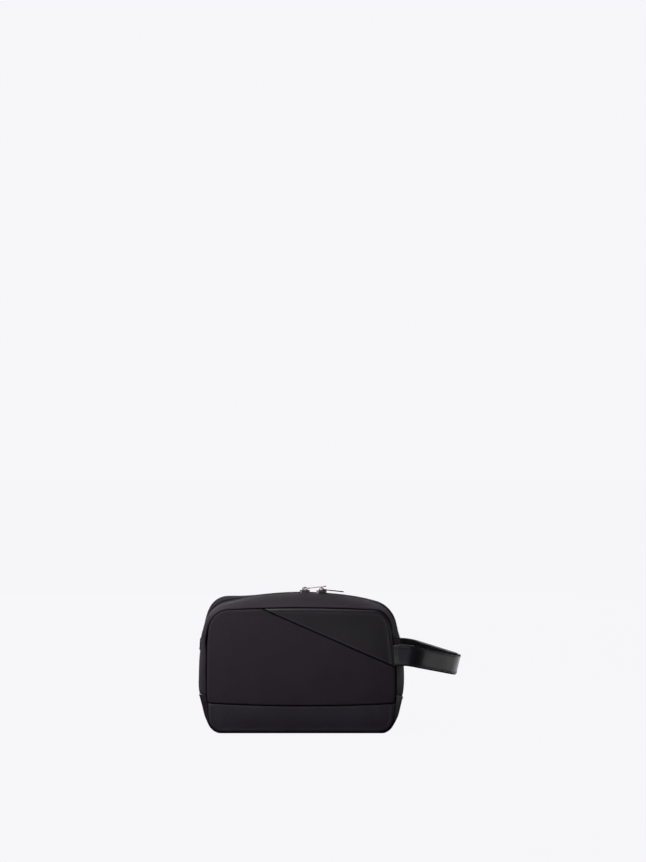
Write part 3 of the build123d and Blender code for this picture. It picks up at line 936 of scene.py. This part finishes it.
def tooth_shape():
    """One tooth of the coil, about its own centre: along the zip, across it, and up."""
    rows, sides = 7, 6
    s = np.linspace(0.06, pi - 0.06, rows)
    a = np.linspace(0, 2 * pi, sides, endpoint=False)
    across = -np.cos(s) * 1.45
    girth = np.sin(s) ** 0.45
    verts = np.stack([
        0.36 * girth[:, None] * np.cos(a)[None, :],
        np.repeat(across[:, None], sides, 1),
        TOOTH_HALF_H * girth[:, None] * np.sin(a)[None, :] + 0.25 * np.cos(across[:, None]),
    ], -1).reshape(-1, 3)
    return verts, tube_faces(rows, sides)


TOOTH, TOOTH_FACES = tooth_shape()


def teeth(t0, t1, side, offset):
    """A row of teeth between two shares on one side of the zip."""
    t = shares(t0, t1, 0.5)
    along = run_length(t)
    places = np.arange(offset * TOOTH_PITCH, along[-1], TOOTH_PITCH)
    ts = np.interp(places, along, t)
    centre = skin(ts, 0.0, TAPE_H + TOOTH_HALF_H)
    ahead = unit(skin(ts + 0.3 / RING_N, 0.0, 0.0) - skin(ts - 0.3 / RING_N, 0.0, 0.0))
    across = np.array((0.0, 1.0, 0.0))
    up = np.cross(ahead, across)
    up *= np.sign((up * (centre - (0, 0, BAG_MID_Z))).sum(1))[:, None]
    verts = (
        centre[:, None] + ahead[:, None] * TOOTH[None, :, :1]
        + across * (side * TOOTH_Y + TOOTH[None, :, 1:2]) + up[:, None] * TOOTH[None, :, 2:]
    )
    faces = [tuple(i + k * len(TOOTH) for i in f) for k in range(len(ts)) for f in TOOTH_FACES]
    return verts.reshape(-1, 3), faces


for depth_word, depth_side, quarter, half_side, t0, t1 in QUARTERS:
    t = shares(t0, t1)
    y = np.sort(depth_side * np.array(TAPE_Y))
    raised = TAPE_H - 0.2 * bump(np.abs(y), TAPE_Y[-1], 0.6)
    tape = cloth(f"{quarter}_tape", t, y, raised[None, :], raised[None, :] - TAPE_T, ZIP_TAPE,
                 [f"{depth_word}_zip_tape", f"{depth_word}_zip_tape_ends"])
    verts, faces = teeth(t0, t1, depth_side, 0.25 if depth_side < 0 else 0.75)
    coil = make_object(f"{quarter}_coil", verts, faces, verts[:, [0, 1]], 70)
    finish_piece(coil, COIL, None, [f"{depth_word}_zip_coil", f"{depth_word}_zip_coil_ends"])
    join_mouth(tape)
    join_mouth(coil)
    # a row of stitches along the strip's edge
    ts = shares(t0, t1, 0.5)[3:-3]
    row_y = depth_side * (STRIP_Y + 2.6)
    path = skin(ts, row_y, -0.36)
    above = skin(ts, row_y, 1.0) - skin(ts, row_y, 0.0)
    row = stitch_row(f"{quarter}_zip_stitches", path, above, None, THREAD, radius=0.24)
    join_mouth(row)


# ---- stitching on the leather, and across the ends of the base ----
def wall_row(name, points, surface, side, thread=LEATHER_THREAD, **sizes):
    h = surface(points, distance_to(points, OUTLINE))
    path = on_wall(side)(points, h)
    return stitch_row(name, path, np.repeat([[0.0, float(side), 0.0]], len(path), 0), "bag", thread, **sizes)


ROW_IN = 2.6
xs = np.linspace(-106.5, 106.5, 300)
for word, side in SIDES:
    row = np.stack([xs, band_height(xs) - ROW_IN], 1)
    wall_row(f"{word}_band_stitches", row, band_surface(side), side)
s = np.linspace(0.02, 0.975, 300)[:, None]
wall_row("corner_stitches", SEAM_START + (SEAM_END - SEAM_START) * s + UP * ROW_IN, corner_surface, -1)
ys = np.linspace(-42.5, 42.5, 120)
for word, side, t_top in (("right", 1, T_RIGHT_BASE), ("left", -1, T_LEFT_BASE)):
    t_row = share_at_height(float(skin(t_top, 0.0, 0.0)[2]) - ROW_IN, side)
    above = skin(t_row, ys, 1.0) - skin(t_row, ys, 0.0)
    stitch_row(f"{word}_base_stitches", skin(t_row, ys, 0.75), above, "bag", LEATHER_THREAD)


# ---- leather tabs over the zip's ends ----
def rounded_ring(half_w, half_h, radius, steps=8):
    ring = []
    for cx, cz, start in ((1, 1, 0), (-1, 1, 1), (-1, -1, 2), (1, -1, 3)):
        for a in np.linspace(start * pi / 2, (start + 1) * pi / 2, steps):
            ring.append((cx * (half_w - radius) + radius * cos(a), cz * (half_h - radius) + radius * sin(a)))
    return np.array(ring)


TAB_HALF_W, TAB_HALF_H = 10.6, 7.2
for word, side in ENDS:
    low, high = low_high(f"{word}_zip_tab")
    tab_z = (low[2] + high[2]) / 2

    def on_side(points, height, side=side, tab_z=tab_z):
        return skin(share_at_height(tab_z + points[:, 1], side), points[:, 0] * side, height)

    tab = cut_piece(
        f"{word}_tab", rounded_ring(TAB_HALF_W, TAB_HALF_H, 3.0), on_side,
        lambda points, d: 0.25 + 0.75 * rounded(d, 0.8) - 0.15 * bump(d, 2.3, 0.6),
        lambda points, d: np.full(len(points), 0.1),
        spacing=2.0, rings=(0.2, 0.5, 0.9, 1.4, 2.1), edge_step=1.0,
    )
    finish_piece(tab, LEATHER, "bag", [f"{word}_zip_tab"])
    ring = rounded_ring(TAB_HALF_W - 2.2, TAB_HALF_H - 2.2, 1.6)
    ring = resample(closed(ring), 0.5)[0]
    path = on_side(ring, np.full(len(ring), 0.85))
    above = on_side(ring, np.full(len(ring), 1.85)) - path
    stitch_row(f"{word}_tab_stitches", path, above, "bag", LEATHER_THREAD, length=2.2, gap=0.8, radius=0.25)

# ---- wrist strap: one loop of two layers with turned, stitched edges ----
STRAP_BEND, STRAP_LEG_Y, STRAP_HALF_T = radians(14.5), 47.5, 1.55
STRAP_BEND_X = (113, 141)            # where the strap droops from level to its full angle


def strap_plan():
    """The loop's line in plan, from the front seam round its end to the back seam."""
    corners = [(107.2, -46.6), (114.0, -STRAP_LEG_Y), (135.0, -STRAP_LEG_Y), (199.2, 0.0),
               (135.0, STRAP_LEG_Y), (114.0, STRAP_LEG_Y), (107.2, 46.6)]
    radii = (30, 30, 17.5, 30, 30)
    path = [np.array([corners[0]])]
    for i, radius in enumerate(radii):
        _, end, bend = fillet_points(corners[i], corners[i + 1], corners[i + 2], radius, 24)
        path += [bend, end[None]]
    path.append(np.array([corners[-1]]))
    return resample(np.concatenate(path), 0.9)[0]


def strap_sweep():
    """Centres, outward axes and width axes along the drooping loop."""
    plan = strap_plan()
    grid = np.linspace(100, 215, 600)
    angle = STRAP_BEND * smooth(grid, *STRAP_BEND_X)
    step = grid[1] - grid[0]
    run = grid[0] + np.concatenate([[0], np.cumsum((np.cos(angle) * step)[:-1])])
    drop = -np.concatenate([[0], np.cumsum((np.sin(angle) * step)[:-1])])
    x, a = np.interp(plan[:, 0], grid, run), np.interp(plan[:, 0], grid, angle)
    centres = np.stack([x, plan[:, 1], STRAP_Z + np.interp(plan[:, 0], grid, drop)], 1)
    along = unit(np.gradient(plan, axis=0))
    out = np.stack([along[:, 1], -along[:, 0]], 1)
    outward = np.stack([out[:, 0] * np.cos(a), out[:, 1], -out[:, 0] * np.sin(a)], 1)
    width = np.stack([np.sin(a), np.zeros(len(a)), np.cos(a)], 1)
    return centres, outward, width


def strap_slack(points):
    """How far the soft leather waves outward."""
    return noise_at(points, 26.0, 61.0)[:, None] * 0.35


strap_centres, strap_out, strap_width = strap_sweep()
HALF_W = STRAP_W / 2
STRAP_ROW = HALF_W - 2.7
w = HALF_W * np.sin(np.linspace(-pi / 2, pi / 2, 41))
ease = np.sqrt(np.maximum(0.0, 1 - (np.abs(w) / HALF_W) ** 10))
turned, stitched = bump(np.abs(w), HALF_W - 1.4, 1.2), bump(np.abs(w), STRAP_ROW, 0.6)
face = (STRAP_HALF_T + 0.3 * turned - 0.22 * stitched) * ease
profile = np.concatenate([np.stack([face, w], 1), np.stack([-face, w], 1)[-2:0:-1]])
verts, faces = tube_mesh(strap_centres, strap_out, strap_width, profile)
verts = verts + np.repeat(strap_out, len(profile), 0) * strap_slack(verts)
lengths = lengths_along(strap_centres)
strap_uv = np.stack([np.repeat(lengths, len(profile)), np.tile(profile[:, 1], len(lengths))], 1)
strap = make_object("wrist_strap", verts, faces, strap_uv, 60)
finish_piece(strap, STRAP_LEATHER, None,
             ["strap_inner", "strap_outer", "strap_inner_roots", "strap_outer_roots"])


def bend_strap(obj):
    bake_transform(obj)


bend_strap(strap)
for word, face_side in (("outer", 1), ("inner", -1)):
    for edge_word, edge_side in (("upper", 1), ("lower", -1)):
        offset = strap_out * (face_side * (STRAP_HALF_T - 0.12)) + strap_width * (edge_side * STRAP_ROW)
        path = strap_centres + offset
        path = path + strap_out * strap_slack(path)
        bend_strap(stitch_row(
            f"strap_{word}_{edge_word}_stitches", path[4:-4], (strap_out * face_side)[4:-4], None,
            LEATHER_THREAD, length=2.6, gap=0.8, radius=0.27,
        ))

# ---- lining ----
LINING_H, LINING_T, LINING_Y = -2.95, 0.5, (9.0, 44.9)
lining_ring = shrink(OUTLINE, 1.6)
for word, side in SIDES:
    def soft(points, d, side=side):
        p = upright(points, 50.0 * side)
        folds = noise_at(p, 30.0, 71.0) * 0.9 + noise_at(p, 9.0, 77.0) * 0.22
        return -0.35 - np.maximum(0.0, 0.7 + folds) * rounded(d, 12.0)

    lining = cut_piece(
        f"{word}_wall_lining", lining_ring, on_wall(side), soft,
        lambda points, d, soft=soft: soft(points, d) - 0.55, spacing=4.5, rings=(1.0, 2.5, 4.5, 8.0),
    )
    finish_piece(lining, LINING, "bag", [f"{word}_lining"])
for depth_word, depth_side, quarter, half_side, t0, t1 in QUARTERS:
    t = shares(t0, t1)
    y = np.sort(depth_side * np.linspace(*LINING_Y, 22))
    from_side = np.minimum(np.abs(y) - LINING_Y[0], LINING_Y[1] - np.abs(y))
    folds = (noise_at(laid(t, y, 0.0), 20.0, 83.0) + 0.3) * 0.35
    h = LINING_H - 0.1 - folds * rounded(from_side, 8.0)[None, :]
    piece = cloth(f"{quarter}_strip_lining", t, y, h, h - LINING_T, LINING,
                  [f"{depth_word}_strip_lining", f"{depth_word}_shoulder_linings"])
    join_mouth(piece)

t = shares(T_LEFT_END - 1, T_RIGHT_END)
y = np.linspace(-LINING_Y[1], LINING_Y[1], 40)
base = laid(t, y, 0.0)
folds = noise_at(base, 26.0, 91.0) * 0.4 + noise_at(base, 10.0, 93.0) * 0.15
h = LINING_H - folds * rounded(LINING_Y[1] - np.abs(y), 8.0)[None, :]
cloth("gusset_cloth", t, y, h, h - LINING_T, LINING, ["gusset_lining"], "bag", 0.0)

# ---- binding over the raw seams inside ----
BIND_IN, BIND_Y, BIND_LOW_Z = 5.0, (36.4, 44.6), 9
bind_ring = evenly(shrink(OUTLINE, BIND_IN), 2.0)
BIND_TOP = low_high("front_seam_binding")[1][2]
start = int(np.argmin(bind_ring[:, 1] + np.abs(bind_ring[:, 0]) * 0.001))
bind_ring = np.roll(bind_ring, -start, 0)
bind_ring = bind_ring if ring_area(bind_ring) > 0 else bind_ring[::-1]
for word, side in SIDES:
    parts = []
    for keep_side in (1, -1):
        x, z = bind_ring[:, 0] * keep_side, bind_ring[:, 1]
        chosen = bind_ring[(x > ARC_X) & (z > BIND_LOW_Z) & (z < BIND_TOP)]
        chosen = chosen[np.argsort(chosen[:, 1])]
        chosen = resample(chosen, 2.0)[0]
        along = unit(np.gradient(chosen, axis=0))
        inward = np.stack([-along[:, 1], along[:, 0]], 1) * keep_side
        n = len(chosen)
        sway = np.array([noise.noise(Vector((0.08 * i, 5.0 * side, keep_side))) for i in range(n)]) * 0.7
        width = BIND_Y[1] - BIND_Y[0]
        a = np.linspace(0, 2 * pi, 16, endpoint=False)
        flat = np.sign(np.cos(a)) * np.abs(np.cos(a)) ** 0.35 * width / 2
        thick = np.sign(np.sin(a)) * np.abs(np.sin(a)) ** 0.7 * 0.85
        axis = upright(inward, 0.0)
        centre = upright(chosen, side * (BIND_Y[0] + width / 2)) + axis * sway[:, None]
        parts.append(tube_mesh(centre, np.repeat([[0.0, 1.0, 0.0]], n, 0), axis, np.stack([flat, thick], 1)))
    verts, faces = merge(parts)
    piece = make_object(f"{word}_binding", verts, faces, verts[:, [2, 1]], 60)
    finish_piece(piece, BINDING, "bag", [f"{word}_seam_binding"])

# ---- slip pocket with an elastic hem ----
POCKET_LOW, POCKET_HIGH = low_high("inner_pocket")
HALF_PW, POCKET_Z0, POCKET_Z1 = POCKET_HIGH[0] - 0.5, POCKET_LOW[2] + 1, POCKET_HIGH[2] - 0.3
POCKET_FLAT_Y, POCKET_T = 43.6, 0.6


def pocket_y(x, z):
    """Depth of the pocket's cloth: sewn flat round three sides, fuller and gathered at the top."""
    sides = rounded(HALF_PW - np.abs(x), 16.0)
    rise = smooth(z, POCKET_Z0, POCKET_Z0 + 38) * 0.75 + 0.25 * rounded(z - POCKET_Z0, 6.0)
    p = np.stack([x, np.full(x.shape, 40.0), z], -1)
    gathers = np.sin(x * 0.72 + 1.3 * noise_at(p, 14.0, 101.0)) * 0.5 * smooth(z, POCKET_Z1 - 34, POCKET_Z1)
    soft = noise_at(p, 24.0, 105.0) * 0.5
    return POCKET_FLAT_Y - sides * (rise * 2.6 + (gathers + soft) * rounded(z - POCKET_Z0, 10.0))


x = np.linspace(-HALF_PW, HALF_PW, 150)
z = np.linspace(POCKET_Z0, POCKET_Z1, 36)
X, Z = np.meshgrid(x, z, indexing="ij")
Y = pocket_y(X, Z)
pocket = slab("slip_pocket", np.dstack([X, Y, Z]), np.dstack([X, Y + POCKET_T, Z]), np.dstack([X, Z]))
finish_piece(pocket, LINING, "bag", ["inner_pocket"])
z = np.linspace(POCKET_Z1 - 0.6, POCKET_Z1 + 8.2, 14)
X, Z = np.meshgrid(x, z, indexing="ij")
top = pocket_y(X, np.full(X.shape, POCKET_Z1))
from_hem = np.minimum(Z - z[0], z[-1] - Z)
bulge = 0.35 * rounded(from_hem, 1.0)
ruffle = 0.22 * np.sin(X * 1.45) * rounded(from_hem, 2.5)
Y = top - 0.25 - bulge - ruffle
elastic = slab("elastic_hem", np.dstack([X, Y, Z]), np.dstack([X, top + 0.9 + bulge, Z]), np.dstack([X, Z]))
finish_piece(elastic, ELASTIC, "bag", ["pocket_elastic"])

# ---- covered base board ----
board_low, board_high = low_high("base_board")
half_x, half_y = (board_high[0] - board_low[0]) / 2, (board_high[1] - board_low[1]) / 2
BOARD_Z = 4.3


def on_base(points, height):
    return np.stack([points[:, 0], points[:, 1], BOARD_Z + height], 1)


board = cut_piece(
    "base_insert", rounded_ring(half_x, half_y, 9.0), on_base,
    lambda points, d: 0.7 + 1.0 * rounded(d, 1.3) + 0.5 * (1 - np.exp(-d / 12.0)),
    lambda points, d: 0.7 - 0.65 * rounded(d, 1.3), spacing=6.0, rings=(0.3, 0.8, 1.5, 3.0, 6.0),
)
finish_piece(board, LINING, "bag", ["base_board"])

# ---- metal ----
for word, _ in ENDS:
    for part in ("slider_body", "slider_crown", "pull_tab"):
        for material_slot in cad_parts[f"{word}_{part}"].material_slots:
            material_slot.material = METAL


# ---- floor, light and world ----
def studio():
    """A plain pale floor, and soft boxes over and beside the bag."""
    floor_mesh = bpy.data.meshes.new("floor")
    corners = [(x * FLOOR_HALF, y * FLOOR_HALF, 0) for x, y in ((-1, -1), (1, -1), (1, 1), (-1, 1))]
    floor_mesh.from_pydata(corners, [], [(0, 1, 2, 3)])
    floor = bpy.data.objects.new("floor", floor_mesh)
    bpy.context.scene.collection.objects.link(floor)
    n = Nodes("floor_paper", "nylon")
    grain = n.noise(n.place, 40.0, 3.0)
    paper = n.ramp(grain, (0.3, (0.009, 0.009, 0.009)), (0.7, (0.011, 0.011, 0.011)))
    n.shade(Base_Color=paper, Roughness=0.95, Specular_IOR_Level=0.0, Emission_Color=(*PALE, 1),
            Emission_Strength=0.992)
    floor_mesh.materials.append(n.material)
    floor.visible_diffuse = floor.visible_glossy = False
    world = bpy.data.worlds.new("studio")
    world.use_nodes = True
    background = world.node_tree.nodes["Background"]
    background.inputs["Color"].default_value = (*PALE, 1)
    background.inputs["Strength"].default_value = 1.0
    world.cycles_visibility.diffuse = world.cycles_visibility.glossy = False
    bpy.context.scene.world = world
    bpy.context.scene.view_settings.view_transform = "Standard"
    for name, place, aim, size_x, size_y, power in SOFT_BOXES:
        data = bpy.data.lights.new(name, "AREA")
        data.shape, data.size, data.size_y, data.energy = "RECTANGLE", size_x, size_y, power
        light = bpy.data.objects.new(name, data)
        light.location = place
        light.visible_camera = False
        light.rotation_euler = (Vector(aim) - Vector(place)).to_track_quat("-Z", "Y").to_euler()
        bpy.context.scene.collection.objects.link(light)


PALE, FLOOR_HALF = linear(247, 246, 249), 14.0
SOFT_BOXES = (
    ("top", (-0.5, 0.0, 1.5), (0.0, 0.0, 0.1), 1.4, 1.0, 16.0),
    ("key", (-0.62, -0.62, 0.45), (-0.05, 0.0, 0.08), 0.45, 0.6, 4.0),
    ("left", (-1.5, -1.2, 0.5), (0.0, 0.0, 0.08), 0.5, 1.2, 2.5),
    ("right", (1.6, -0.75, 0.42), (0.15, 0.0, 0.08), 0.35, 0.9, 2.2),
    ("front", (-0.6, -2.6, 1.1), (0.0, 0.0, 0.08), 1.8, 1.4, 2.5),
    ("back", (-0.3, 2.2, 0.6), (0.0, 0.0, 0.08), 1.4, 1.0, 13.0),
    # the pale floor's own glow, where the leather mirrors it
    ("floor_right", (0.72, 0.42, 0.004), (0.72, 0.42, 1.0), 0.8, 1.0, 4.2),
    ("floor_left", (-0.75, 0.2, 0.004), (-0.75, 0.2, 1.0), 0.7, 1.0, 0.8),
    ("floor_front", (-0.2, -0.5, 0.004), (-0.2, -0.5, 1.0), 0.7, 0.45, 1.3),
    ("floor_near", (0.36, -1.2, 0.004), (0.36, -1.2, 1.0), 0.4, 0.5, 0.2),
)
studio()
